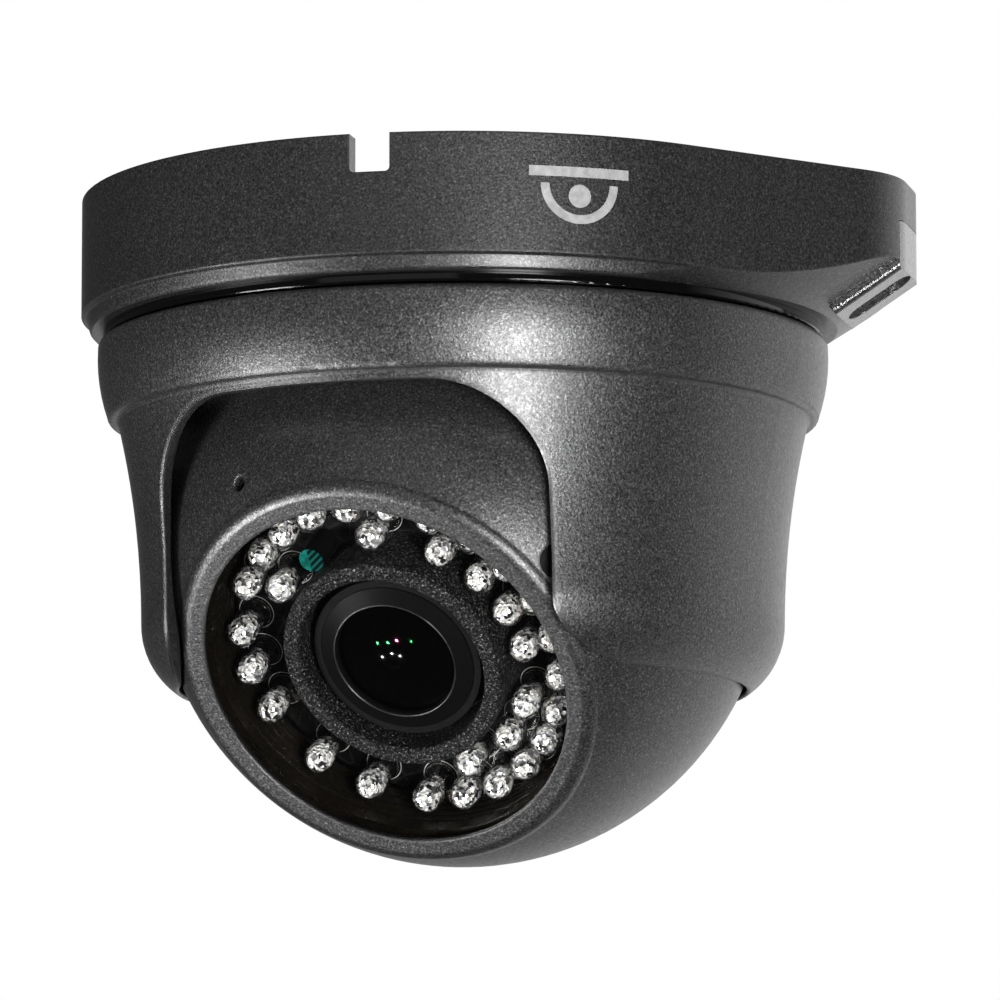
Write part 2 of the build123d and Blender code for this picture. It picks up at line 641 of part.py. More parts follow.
def window_glass():
    top = WINDOW_SEAT_Z - WINDOW_SEAL_T
    return disc(GLASS_R, top - GLASS_T, top)


def window_retainer():
    """Threaded ring behind the glass, with fine grooves on its inside."""
    top = WINDOW_SEAT_Z - WINDOW_SEAL_T - GLASS_T
    body = ring(APERTURE_R - 0.1, GLASS_R, WINDOW_TUBE_Z, top)
    for groove_z in (24.2, 25.8, 27.4, 29.0):
        body -= ring(APERTURE_R - 1, APERTURE_R + 0.35, groove_z, groove_z + 0.7)
    return body


def pivot_bush():
    return across(BUSH_R, PIVOT_BOSS_X, BALL_FLAT_X) - across(PIN_R + RUNNING_GAP, 30, 50)


def guide_ring():
    body = ring(GUIDE_LIP_R, GUIDE_R, GUIDE_BACK_Z, GUIDE_FRONT_Z)
    body -= disc(GUIDE_BORE_R, GUIDE_SEAT_Z, GUIDE_FRONT_Z + 1)
    hole = disc(CLEARANCE_R, GUIDE_BACK_Z - 1, GUIDE_FRONT_Z + 1)
    hole += disc(COUNTERBORE_R, GUIDE_BACK_Z - 1, GUIDE_BACK_Z + GUIDE_COUNTERBORE)
    return body - around(hole, GUIDE_SCREW_ANGLES, GUIDE_SCREW_CIRCLE)


def guide_clip():
    return ring(GUIDE_LIP_R, GUIDE_CLIP_R, GUIDE_FRONT_Z, GUIDE_FRONT_Z + GUIDE_CLIP_T)


def guide_screws():
    one = Pos(0, 0, GUIDE_BACK_Z + GUIDE_COUNTERBORE) * screw(SCREW_R, GUIDE_SCREW_L)
    return group(around(one, GUIDE_SCREW_ANGLES, GUIDE_SCREW_CIRCLE))


# ---------------------------------------------------------------- camera module

def turntable():
    body = ring(TURNTABLE_HOLE_R, GUIDE_BORE_R - RUNNING_GAP, TURNTABLE_BACK_Z, TURNTABLE_FRONT_Z)
    hole = disc(CLEARANCE_R, TURNTABLE_BACK_Z - 1, TURNTABLE_FRONT_Z + 1)
    return body - around(hole, IR_STANDOFF_ANGLES, IR_STANDOFF_CIRCLE)


def turntable_screws():
    one = Pos(0, 0, TURNTABLE_BACK_Z) * screw(BOARD_SCREW_R, TURNTABLE_SCREW_L)
    return group(around(one, IR_STANDOFF_ANGLES, IR_STANDOFF_CIRCLE))


def ir_board_standoffs():
    one = disc(STANDOFF_R, TURNTABLE_FRONT_Z, IR_BOARD_BACK_Z)
    one -= disc(STANDOFF_BORE_R, 0, TURNTABLE_FRONT_Z + 4.2)
    return group(around(one, IR_STANDOFF_ANGLES, IR_STANDOFF_CIRCLE))


def ir_board():
    return ring(IR_BOARD_HOLE_R, IR_BOARD_R, IR_BOARD_BACK_Z, IR_BOARD_FRONT_Z)


def led():
    """Five millimetre LED: a rim, a round body and a domed front."""
    body = disc(LED_R, 0, LED_H - LED_R) + Pos(0, 0, LED_H - LED_R) * Sphere(LED_R)
    return Pos(0, 0, IR_BOARD_FRONT_Z) * (body + disc(LED_RIM_R, 0, LED_RIM_H))


def led_ring(clockwise_angles, circle):
    return group(around(led(), [-angle for angle in clockwise_angles], circle))


def light_sensor():
    cell = disc(SENSOR_R, IR_BOARD_FRONT_Z, IR_BOARD_FRONT_Z + SENSOR_H, SENSOR_CIRCLE)
    return Rot(0, 0, -SENSOR_ANGLE) * cell


def lens_collar():
    body = ring(COLLAR_BORE_R, COLLAR_R, IR_BOARD_FRONT_Z, COLLAR_FRONT_Z)
    return fillet(body.edges().group_by(Axis.Z)[-1], COLLAR_EDGE_R)


def lens_tube():
    body = ring(LENS_TUBE_BORE_R, LENS_TUBE_R, LENS_TUBE_BACK_Z, LENS_TUBE_FRONT_Z)
    body += ring(LENS_TUBE_R - 1, TURNTABLE_HOLE_R - 1.3, ZOOM_FRONT_Z + 0.2, FOCUS_BACK_Z - 0.2)
    return body + ring(LENS_TUBE_R - 1, REAR_FLANGE_R, LENS_TUBE_BACK_Z, ZOOM_BACK_Z - 0.2)


def lens_element(radius, rim_z, rim_t, sag_front, sag_back):
    """Round glass element with a spherical front and back."""
    front_z = rim_z + rim_t
    front_r = (radius ** 2 + sag_front ** 2) / (2 * sag_front)
    back_r = (radius ** 2 + sag_back ** 2) / (2 * sag_back)
    body = disc(radius, rim_z - sag_back, front_z + sag_front)
    body = body & Pos(0, 0, front_z + sag_front - front_r) * Sphere(front_r)
    return body & Pos(0, 0, rim_z - sag_back + back_r) * Sphere(back_r)


def iris_plate():
    return ring(IRIS_R, ELEMENT_R, IRIS_Z, IRIS_Z + IRIS_T)


def focus_barrel():
    body = ring(RING_BORE_R, FOCUS_R, FOCUS_BACK_Z, FOCUS_FRONT_Z)
    body += ring(FRONT_GLASS_R - 1, RING_BORE_R + 0.5, FRONT_GLASS_Z - 0.5, FOCUS_FRONT_Z)
    body -= disc(FRONT_GLASS_R + 0.05, FRONT_GLASS_Z - 0.1, FOCUS_FRONT_Z + 1)
    grip = block(0.5, 0.6, GRIP_BACK_Z, GRIP_FRONT_Z, FOCUS_R)
    for step in range(FOCUS_GRIPS):
        body -= Rot(0, 0, 360 / FOCUS_GRIPS * step) * grip
    return body - knob_hole(FOCUS_KNOB_Z)


def front_lens():
    return lens_element(FRONT_GLASS_R, FRONT_GLASS_Z, 1.0, 1.4, 0.1)


def front_lens_ring():
    """Name ring round the front glass: a shallow cone that rises towards the glass."""
    inner = FRONT_GLASS_R - 0.3
    low = FOCUS_FRONT_Z
    return turned(Polyline((inner, low), (LENS_RING_R, low), (LENS_RING_R, low + 0.15),
                           (inner + 0.5, low + LENS_RING_H), (inner + 0.25, low + LENS_RING_H),
                           (inner, low + LENS_RING_H - 0.3), (inner, low)))


def knob_hole(height):
    return Pos(0, 0, height) * across(KNOB_SHANK_R + 0.05, RING_BORE_R - 5, RING_BORE_R + 10)


def lock_knob(barrel_r, height):
    """Thumbscrew on a lens ring: a thin shank in the barrel and a fluted knob outside it."""
    knob = across(KNOB_R, barrel_r + 0.25, barrel_r + 0.25 + KNOB_L)
    flute = Pos(0, 0, KNOB_R + 0.1) * across(0.4, 0, 40)
    for step in range(KNOB_FLUTES):
        knob -= Rot(360 / KNOB_FLUTES * step, 0, 0) * flute
    return Pos(0, 0, height) * (knob + across(KNOB_SHANK_R, RING_BORE_R + 0.3, barrel_r + 1))


def zoom_barrel():
    body = ring(RING_BORE_R, ZOOM_R, ZOOM_BACK_Z, ZOOM_FRONT_Z)
    return body - knob_hole(ZOOM_KNOB_Z)


# ---------------------------------------------------------------- circuit boards

BOARD_CORNERS = ((1, 1), (1, -1), (-1, 1), (-1, -1))


def at_corners(shape):
    """Copies of a shape on the circuit boards' four mounting holes."""
    return [Pos(BOARD_HOLE_XY * x, BOARD_HOLE_XY * y, 0) * shape for x, y in BOARD_CORNERS]


def circuit_board(back_z):
    board = block(BOARD_SIDE, BOARD_SIDE, back_z, back_z + BOARD_T)
    board = fillet(board.edges().filter_by(Axis.Z), 2.0)
    return board - at_corners(disc(CLEARANCE_R, back_z - 1, back_z + BOARD_T + 1))


def upper_standoffs():
    low = MAIN_BOARD_Z + BOARD_T
    body = disc(STANDOFF_R, low, TURNTABLE_BACK_Z)
    return group(at_corners(body - disc(STANDOFF_BORE_R, low - 1, low + 5.5)))


def lower_standoffs():
    low = POWER_BOARD_Z + BOARD_T
    body = disc(STANDOFF_R, low, MAIN_BOARD_Z)
    body += disc(BOARD_SCREW_R, MAIN_BOARD_Z - 1, MAIN_BOARD_Z + BOARD_T + 5)
    return group(at_corners(body - disc(STANDOFF_BORE_R, low - 1, low + 5)))


def board_screws():
    return group(at_corners(Pos(0, 0, POWER_BOARD_Z) * screw(BOARD_SCREW_R, BOARD_SCREW_L)))


def sensor_holder():
    low = MAIN_BOARD_Z + BOARD_T
    inside = HOLDER_SIDE - 2 * HOLDER_WALL
    body = block(HOLDER_SIDE, HOLDER_SIDE, low, HOLDER_FRONT_Z)
    body -= block(inside, inside, low - 1, FILTER_FRONT_Z)
    return body - disc(HOLDER_BORE_R, low, 0)


def ir_cut_filter():
    return block(FILTER_SIDE, FILTER_SIDE, FILTER_FRONT_Z - FILTER_T, FILTER_FRONT_Z)


def image_sensor():
    low = MAIN_BOARD_Z + BOARD_T
    size_x, size_y, thickness = IMAGE_SENSOR
    return block(size_x, size_y, low, low + thickness)


def socket(size, board_z):
    """Cable socket on the back of a circuit board."""
    length, width, height, offset = size
    return block(length, width, board_z - height, board_z, 0, offset)


def board_connectors():
    return group([socket(MAIN_SOCKET, MAIN_BOARD_Z), socket(POWER_SOCKET, POWER_BOARD_Z),
                  socket(IR_SOCKET, IR_BOARD_BACK_Z)])


NODES = {
    "base_housing": base_housing(),
    "nose_cover": nose_cover(),
    "nose_cover_screw": nose_cover_screw(),
    "swivel_seal": swivel_seal(),
    "slip_ring": slip_ring(),
    "yoke_housing": yoke_housing(),
    "yoke_retainer_ring": in_pan(yoke_retainer_ring()),
    "yoke_retainer_screws": in_pan(yoke_retainer_screws()),
    "tilt_pin_right": pivot_side(tilt_pin(), 1),
    "tilt_pin_left": pivot_side(tilt_pin(), -1),
    "tilt_washer_right": pivot_side(tilt_washer(), 1),
    "tilt_washer_left": pivot_side(tilt_washer(), -1),
    "ball_shell": in_ball(ball_shell()),
    "ball_rear_cap": in_ball(ball_rear_cap()),
    "rear_cap_seal": in_ball(rear_cap_seal()),
    "rear_cap_screws": in_ball(rear_cap_screws()),
    "cable_gland": in_ball(cable_gland()),
    "cable_gland_nut": in_ball(cable_gland_nut()),
    "set_screw": in_ball(set_screw()),
    "side_plug": in_ball(side_plug()),
    "window_seal": in_ball(window_seal()),
    "window_glass": in_ball(window_glass()),
    "window_retainer": in_ball(window_retainer()),
    "pivot_bush_right": in_ball(pivot_bush()),
    "pivot_bush_left": in_ball(Rot(0, 0, 180) * pivot_bush()),
    "guide_ring": in_ball(guide_ring()),
    "guide_clip": in_ball(guide_clip()),
    "guide_screws": in_ball(guide_screws()),
    "turntable": in_ball(turntable()),
    "turntable_screws": in_ball(turntable_screws()),
    "ir_board_standoffs": in_ball(ir_board_standoffs()),
    "ir_board": in_ball(ir_board()),
    "ir_leds_outer": in_ball(led_ring(OUTER_LED_ANGLES, OUTER_LED_CIRCLE)),
    "ir_leds_inner": in_ball(led_ring(INNER_LED_ANGLES, INNER_LED_CIRCLE)),
    "light_sensor": in_ball(light_sensor()),
    "lens_collar": in_ball(lens_collar()),
    "lens_tube": in_ball(lens_tube()),
    "lens_middle_element": in_ball(lens_element(ELEMENT_R, MIDDLE_ELEMENT_Z, 1.6, 0.9, 0.6)),
    "lens_rear_element": in_ball(lens_element(ELEMENT_R, REAR_ELEMENT_Z, 1.8, 0.7, 0.9)),
    "iris_plate": in_ball(iris_plate()),
    "sensor_holder": in_ball(sensor_holder()),
    "ir_cut_filter": in_ball(ir_cut_filter()),
    "image_sensor": in_ball(image_sensor()),
    "main_board": in_ball(circuit_board(MAIN_BOARD_Z)),
    "power_board": in_ball(circuit_board(POWER_BOARD_Z)),
    "upper_standoffs": in_ball(upper_standoffs()),
    "lower_standoffs": in_ball(lower_standoffs()),
    "board_screws": in_ball(board_screws()),
    "board_connectors": in_ball(board_connectors()),
    "focus_barrel": in_ball(focus_barrel()),
    "front_lens": in_ball(front_lens()),
    "front_lens_ring": in_ball(front_lens_ring()),
    "focus_lock_knob": in_ball(lock_knob(FOCUS_R, FOCUS_KNOB_Z)),
    "zoom_barrel": in_ball(zoom_barrel()),
    "zoom_lock_knob": in_ball(lock_knob(ZOOM_R, ZOOM_KNOB_Z)),
}

os.makedirs("parts", exist_ok=True)
for name, shape in NODES.items():
    export_step(shape, f"parts/{name}.step")
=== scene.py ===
import json
from math import cos, pi, radians, sin

import bmesh
import bpy
from mathutils import Matrix, Vector


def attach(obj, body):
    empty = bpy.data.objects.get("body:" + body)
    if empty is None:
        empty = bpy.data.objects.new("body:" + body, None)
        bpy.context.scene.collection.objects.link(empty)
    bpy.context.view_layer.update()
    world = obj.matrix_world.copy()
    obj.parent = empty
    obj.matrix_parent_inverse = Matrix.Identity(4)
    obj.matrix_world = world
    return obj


# Looks of the dome CCTV camera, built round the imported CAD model. Lengths are in metres, except where a
# comment says mm; points in mm are multiplied by MM when a mesh or a place is made of them.

MM = 0.001

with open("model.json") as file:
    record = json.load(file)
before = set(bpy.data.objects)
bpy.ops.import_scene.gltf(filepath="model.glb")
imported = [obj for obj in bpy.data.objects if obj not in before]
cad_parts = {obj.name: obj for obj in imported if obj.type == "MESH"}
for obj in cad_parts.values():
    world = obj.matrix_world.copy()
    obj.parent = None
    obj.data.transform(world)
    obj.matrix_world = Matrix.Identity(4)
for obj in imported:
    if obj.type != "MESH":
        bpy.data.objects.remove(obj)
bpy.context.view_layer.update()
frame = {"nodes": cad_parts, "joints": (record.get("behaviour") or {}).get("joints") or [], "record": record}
joints = {joint["name"]: joint for joint in frame["joints"]}

# The ball's own frame: X along the tilt axis, Z along the optical axis, Y upwards.
BALL_CENTRE = Vector(joints["tilt"]["pos_m"])
BALL_RIGHT = Vector(joints["tilt"]["axis"]).normalized()
OPTICAL = Vector(joints["roll"]["axis"]).normalized()
BALL_UP = OPTICAL.cross(BALL_RIGHT)
BALL_FRAME = Matrix((BALL_RIGHT, BALL_UP, OPTICAL)).transposed().to_4x4()
BALL_FRAME.translation = BALL_CENTRE
TO_BALL = BALL_FRAME.inverted()


# ---------------------------------------------------------------- material helpers

class Nodes:
    """A material with its shader, and short calls for the nodes that drive it."""

    def __init__(self, name, colour, roughness, metallic=0.0):
        self.material = bpy.data.materials.new(name)
        self.material.use_nodes = True
        self.tree = self.material.node_tree
        self.shader = self.tree.nodes["Principled BSDF"]
        self.set("Base Color", (*colour, 1.0))
        self.set("Roughness", roughness)
        self.set("Metallic", metallic)
        self.coords = self.tree.nodes.new("ShaderNodeTexCoord").outputs["Object"]

    def set(self, socket, value):
        self.shader.inputs[socket].default_value = value

    def link(self, out, into):
        self.tree.links.new(out, into)

    def drive(self, out, socket):
        self.link(out, self.shader.inputs[socket])

    def noise(self, scale, detail=2.0, rough=0.5):
        node = self.tree.nodes.new("ShaderNodeTexNoise")
        node.inputs["Scale"].default_value = scale
        node.inputs["Detail"].default_value = detail
        node.inputs["Roughness"].default_value = rough
        self.link(self.coords, node.inputs["Vector"])
        return node.outputs["Fac"]

    def swirl(self, scale, reach):
        """Warps the coordinates that the nodes added after this call use."""
        noise = self.tree.nodes.new("ShaderNodeTexNoise")
        noise.inputs["Scale"].default_value = scale
        self.link(self.coords, noise.inputs["Vector"])
        warp = self.tree.nodes.new("ShaderNodeVectorMath")
        warp.operation = "MULTIPLY_ADD"
        self.link(noise.outputs["Color"], warp.inputs[0])
        warp.inputs[1].default_value = (reach, reach, reach)
        self.link(self.coords, warp.inputs[2])
        self.coords = warp.outputs["Vector"]

    def cells(self, scale, feature="F1", output="Distance"):
        node = self.tree.nodes.new("ShaderNodeTexVoronoi")
        node.feature = feature
        node.inputs["Scale"].default_value = scale
        self.link(self.coords, node.inputs["Vector"])
        return node.outputs[output]

    def ramp(self, fac, *stops):
        """Colour ramp; each stop is a position and a colour or grey."""
        node = self.tree.nodes.new("ShaderNodeValToRGB")
        while len(node.color_ramp.elements) < len(stops):
            node.color_ramp.elements.new(0.5)
        for element, (position, colour) in zip(node.color_ramp.elements, stops):
            element.position = position
            shade = colour if isinstance(colour, tuple) else (colour, colour, colour)
            element.color = (*shade, 1.0)
        self.link(fac, node.inputs["Fac"])
        return node.outputs["Color"]

    def mix(self, fac, low, high, blend="MIX"):
        node = self.tree.nodes.new("ShaderNodeMix")
        node.data_type = "RGBA"
        node.blend_type = blend
        for value, socket in ((fac, node.inputs[0]), (low, node.inputs[6]), (high, node.inputs[7])):
            if isinstance(value, bpy.types.NodeSocket):
                self.link(value, socket)
            elif socket == node.inputs[0]:
                socket.default_value = value
            else:
                socket.default_value = (*value, 1.0)
        return node.outputs[2]

    def math(self, operation, first, second):
        node = self.tree.nodes.new("ShaderNodeMath")
        node.operation = operation
        for value, socket in zip((first, second), node.inputs):
            if isinstance(value, bpy.types.NodeSocket):
                self.link(value, socket)
            else:
                socket.default_value = value
        return node.outputs[0]

    def along(self, axis):
        """How far a point lies along an axis."""
        node = self.tree.nodes.new("ShaderNodeVectorMath")
        node.operation = "DOT_PRODUCT"
        self.link(self.coords, node.inputs[0])
        node.inputs[1].default_value = axis
        return node.outputs["Value"]

    def rounded(self, radius):
        node = self.tree.nodes.new("ShaderNodeBevel")
        node.samples = 4
        node.inputs["Radius"].default_value = radius
        return node.outputs["Normal"]

    def edge_mask(self, radius):
        """1 on sharp edges, 0 on open faces."""
        true_normal = self.tree.nodes.new("ShaderNodeNewGeometry").outputs["Normal"]
        dot = self.tree.nodes.new("ShaderNodeVectorMath")
        dot.operation = "DOT_PRODUCT"
        self.link(self.rounded(radius), dot.inputs[0])
        self.link(true_normal, dot.inputs[1])
        return self.ramp(dot.outputs["Value"], (0.90, 1.0), (0.995, 0.0))

    def bump(self, height, strength, distance, normal=None):
        node = self.tree.nodes.new("ShaderNodeBump")
        node.inputs["Strength"].default_value = strength
        node.inputs["Distance"].default_value = distance
        self.link(height, node.inputs["Height"])
        if normal:
            self.link(normal, node.inputs["Normal"])
        self.drive(node.outputs["Normal"], "Normal")


def grey(value):
    return (value, value, value)


def paint(name, base, sparkle, roughness, metallic=0.8, edge=0.0006, varnish=0.2):
    """Graphite powder coat: metal flakes, a fine orange peel and edges a little brighter, part rubbed wear
    and part painted highlight.
    """
    nodes = Nodes(name, base, roughness, metallic)
    flakes = nodes.ramp(nodes.noise(3000, 3, 0.7), (0.36, grey(base[0] * 0.45)), (0.5, base),
                        (0.60, grey(base[0] * 1.5)), (0.70, grey(sparkle)))
    patches = nodes.ramp(nodes.noise(35, 3), (0.3, grey(0.9)), (0.7, grey(1.0)))
    colour = nodes.mix(1.0, flakes, patches, "MULTIPLY")
    # Edges mixed towards a lighter grey: rubbed wear and a painted highlight along the edges.
    edge_wear_and_highlight = nodes.math("MULTIPLY", nodes.edge_mask(edge), nodes.noise(300, 2))
    nodes.drive(nodes.mix(edge_wear_and_highlight, colour, grey(sparkle * 0.8)), "Base Color")
    gloss = nodes.ramp(nodes.noise(1500, 2), (0.3, roughness - 0.07), (0.7, roughness + 0.08))
    nodes.drive(gloss, "Roughness")
    nodes.bump(nodes.noise(2300, 3, 0.6), 0.45, 0.00012, nodes.rounded(edge))
    nodes.set("Coat Weight", varnish)
    nodes.set("Coat Roughness", 0.28)
    return nodes.material


def plain(name, colour, roughness, metallic=0.0, grain=900, depth=0.1, spread=0.12, edge=0.0, gloss=0.5):
    """Moulded or machined surface with a fine grain in its colour, gloss and height."""
    nodes = Nodes(name, colour, roughness, metallic)
    nodes.set("Specular IOR Level", gloss)
    dark = tuple(value * 0.8 for value in colour)
    light = tuple(min(1.0, value * 1.18) for value in colour)
    nodes.drive(nodes.ramp(nodes.noise(grain, 3), (0.3, dark), (0.7, light)), "Base Color")
    nodes.drive(nodes.ramp(nodes.noise(grain * 0.4, 2), (0.3, max(0.02, roughness - spread)),
                           (0.7, roughness + spread)), "Roughness")
    nodes.bump(nodes.noise(grain * 1.3, 2), depth, 0.0001, nodes.rounded(edge) if edge else None)
    return nodes.material


def foam(name):
    """Sponge rubber with open pores and a pale dust on its skin."""
    nodes = Nodes(name, grey(0.012), 0.55)
    speckle = nodes.ramp(nodes.noise(3200, 3, 0.8), (0.44, grey(0.001)), (0.55, grey(0.005)),
                         (0.61, grey(0.06)), (0.70, grey(0.45)))
    # Edges painted a lighter grey: a painted highlight along the collar's edges.
    edge_wear_and_highlight = nodes.edge_mask(0.3 * MM)
    nodes.drive(nodes.mix(edge_wear_and_highlight, speckle, grey(0.09)), "Base Color")
    nodes.set("Specular IOR Level", 0.2)
    pores = nodes.cells(1900)
    nodes.drive(nodes.ramp(pores, (0.1, 0.75), (0.7, 0.45)), "Roughness")
    nodes.bump(pores, 0.8, 0.0003)
    return nodes.material


def clear(name, tint, alpha, roughness=0.0, ripple=0.01):
    """Clear glass or epoxy as its surface gloss alone, with a faint ripple and all light let through."""
    nodes = Nodes(name, tint, roughness, 1.0)
    nodes.set("Alpha", alpha)
    nodes.drive(nodes.ramp(nodes.noise(180, 2), (0.3, roughness), (0.7, roughness + 0.02)), "Roughness")
    nodes.bump(nodes.noise(260, 2), ripple, 0.0001)
    return nodes.material


def coated(name, tint):
    """Black glass surface deep in the lens, whose coating reflects one colour."""
    nodes = Nodes(name, grey(0.0015), 0.03)
    nodes.set("Specular Tint", (*tint, 1.0))
    nodes.set("Specular IOR Level", 0.12)
    nodes.drive(nodes.ramp(nodes.noise(200, 2), (0.3, 0.02), (0.7, 0.05)), "Roughness")
    return nodes.material


def smoked(name):
    """Front glass: smoky, with a soft gloss over the dark of the lens behind it."""
    nodes = Nodes(name, grey(0.0005), 0.0)
    nodes.set("Alpha", 0.75)
    nodes.set("Specular IOR Level", 0.25)
    nodes.drive(nodes.ramp(nodes.noise(200, 2), (0.3, 0.027), (0.7, 0.03)), "Roughness")
    return nodes.material


def foil_with_painted_glints(name):
    """Bright stamped metal as a domed lens shows it, with painted light in its colour: facets in painted
    reflections and glints, and painted shade that darkens it round the edge.
    """
    nodes = Nodes(name, grey(0.85), 0.2, 0.25)
    edge = nodes.tree.nodes.new("ShaderNodeLayerWeight")
    edge.inputs["Blend"].default_value = 0.45
    nodes.swirl(1300, 0.0009)
    facets = nodes.cells(1600, output="Color")
    # Painted reflections: the facets' colours run from near black to white, standing in for the lamps and
    # room they mirror.
    shade = nodes.ramp(facets, (0.24, grey(0.02)), (0.38, grey(0.30)), (0.48, (0.86, 0.82, 0.74)),
                       (0.7, grey(1.0)))
    # Painted shade: the colour darkens towards the core's outline, where its face turns away.
    rim = nodes.ramp(edge.outputs["Facing"], (0.30, 0.0), (0.80, 1.0))
    nodes.drive(nodes.mix(rim, shade, grey(0.03)), "Base Color")
    nodes.drive(nodes.ramp(facets, (0.2, 0.10), (0.8, 0.30)), "Roughness")
    nodes.bump(nodes.cells(1600), 1.0, 0.0006)
    return nodes.material


def solder_mask(name, colour):
    """Circuit board with raised tracks under its lacquer."""
    nodes = Nodes(name, colour, 0.3)
    nodes.set("Specular IOR Level", 0.12)
    tracks = nodes.cells(330, "DISTANCE_TO_EDGE")
    light = tuple(value * 1.9 + 0.004 for value in colour)
    nodes.drive(nodes.ramp(tracks, (0.03, light), (0.07, colour)), "Base Color")
    nodes.drive(nodes.ramp(nodes.noise(500), (0.3, 0.22), (0.7, 0.42)), "Roughness")
    nodes.bump(nodes.ramp(tracks, (0.03, 1.0), (0.07, 0.0)), 0.25, 0.00008)
    return nodes.material


def sensor_cell(name):
    """Teal photo-resistor: film on its face, drawn out into slanting fingers on the right; black case."""
    nodes = Nodes(name, (0.0, 0.14, 0.12), 0.15)
    places = [vert.co for vert in frame["nodes"]["light_sensor"].data.vertices]
    front = max(OPTICAL.dot(place) for place in places)
    across = [BALL_RIGHT.dot(place) for place in places]
    middle = (min(across) + max(across)) / 2
    finger_pitch = 0.8 * MM
    across_fingers = BALL_RIGHT * 0.6 - BALL_UP * 0.8
    slant = across_fingers * (2 * pi / finger_pitch)
    fingers = nodes.ramp(nodes.math("SINE", nodes.along(slant), 0.0),
                         (0.0, (0.0, 0.004, 0.004)), (0.5, (0.0, 0.075, 0.06)))
    solid = nodes.ramp(nodes.noise(900), (0.35, (0.0, 0.05, 0.04)), (0.65, (0.004, 0.15, 0.12)))
    fingers_start, film_depth = middle - 0.3 * MM, 0.05 * MM
    film = nodes.mix(nodes.math("GREATER_THAN", nodes.along(BALL_RIGHT), fingers_start), solid, fingers)
    face = nodes.math("GREATER_THAN", nodes.along(OPTICAL), front - film_depth)
    nodes.drive(nodes.mix(face, grey(0.004), film), "Base Color")
    nodes.drive(nodes.ramp(nodes.noise(600), (0.3, 0.3), (0.7, 0.4)), "Roughness")
    nodes.set("Specular IOR Level", 0.06)
    return nodes.material


MATERIALS = {
    # One graphite coat on the base, yoke and ball, given three greys: the darker greys of the base and the
    # ball are partly painted shade.
    "base_paint": paint("base_paint", grey(0.060), 0.18, 0.42, edge=0.0005, varnish=0.45),
    "yoke_paint": paint("yoke_paint", grey(0.092), 0.28, 0.38, edge=0.0011),
    "ball_paint": paint("ball_paint", grey(0.082), 0.30, 0.40),
    # Nose cover: a lighter grey than the housing, partly painted reflection of the white room on its gloss.
    "cover_gloss": paint("cover_gloss", grey(0.20), 0.3, 0.14, 0.8, 0.0003),
    "gloss_seal": plain("gloss_seal", grey(0.002), 0.09, grain=400, depth=0.0, spread=0.02, edge=0.0002,
                        gloss=0.4),
    "screw_steel": plain("screw_steel", grey(0.55), 0.25, 1.0, grain=1600, edge=0.0001),
    "black_steel": plain("black_steel", grey(0.03), 0.35, 0.8, grain=1600, edge=0.0001),
    "zinc_plate": plain("zinc_plate", (0.50, 0.51, 0.53), 0.38, 1.0, grain=700),
    "nylon_white": plain("nylon_white", (0.72, 0.72, 0.68), 0.5),
    "rubber_black": plain("rubber_black", grey(0.006), 0.6, grain=1200, depth=0.2, gloss=0.1),
    "bronze": plain("bronze", (0.62, 0.44, 0.18), 0.3, 1.0),
    "anodised_black": plain("anodised_black", (0.026, 0.021, 0.016), 0.24, 0.7, grain=1500,
                            spread=0.05),
    "window_glass": clear("window_glass", grey(0.95), 0.014, ripple=0.005),
    "lens_glass": clear("lens_glass", (0.75, 0.95, 0.85), 0.02, ripple=0.0),
    "led_epoxy": clear("led_epoxy", grey(0.98), 0.2, 0.02, ripple=0.1),
    "sensor_cell": sensor_cell("sensor_cell"),
    "collar_foam": foam("collar_foam"),
    "board_black": solder_mask("board_black", grey(0.005)),
    "board_green": solder_mask("board_green", (0.005, 0.10, 0.04)),
    "sensor_chip": plain("sensor_chip", (0.02, 0.02, 0.035), 0.15),
    "connector_white": plain("connector_white", (0.75, 0.74, 0.66), 0.45),
    "lens_plastic": plain("lens_plastic", grey(0.004), 0.5, grain=1800, depth=0.2, gloss=0.1),
    "lens_ring": plain("lens_ring", grey(0.004), 0.34, grain=2600, depth=0.12, spread=0.03, edge=0.0002,
                       gloss=0.05),
}

LED_FOIL_PAINTED_GLINTS = foil_with_painted_glints("led_foil_painted_glints")
RIM_METAL = plain("rim_metal", grey(0.09), 0.32, 1.0, depth=0.02, spread=0.02)
PRINT_GREY = plain("print_grey", grey(0.42), 0.5)
LENS_FLOCK = plain("lens_flock", grey(0.0012), 0.9, grain=2600, depth=0.2, spread=0.05)
COATINGS = {
    "front_lens": smoked("front_glass"),
    "lens_tube": LENS_FLOCK,
    "iris_plate": LENS_FLOCK,
    "lens_middle_element": coated("green_coating", (0.1, 1.0, 0.35)),
    "lens_rear_element": coated("magenta_coating", (1.0, 0.15, 0.6)),
}

for part in frame["record"]["subparts"]:
    node = frame["nodes"][part["node"]]
    for material_slot in node.material_slots:
        material_slot.material = COATINGS.get(part["node"], MATERIALS[part["material_slot"]])


# ---------------------------------------------------------------- mesh helpers

def new_piece(name, mesh, body, slot, look=None, place=BALL_FRAME):
    """A finished mesh, drawn in the ball's frame by default, as an object that rides on a body."""
    piece = bpy.data.objects.new(name, mesh)
    bpy.context.scene.collection.objects.link(piece)
    mesh.transform(place)
    mesh.materials.append(look or MATERIALS[slot])
    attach(piece, body)
    return piece


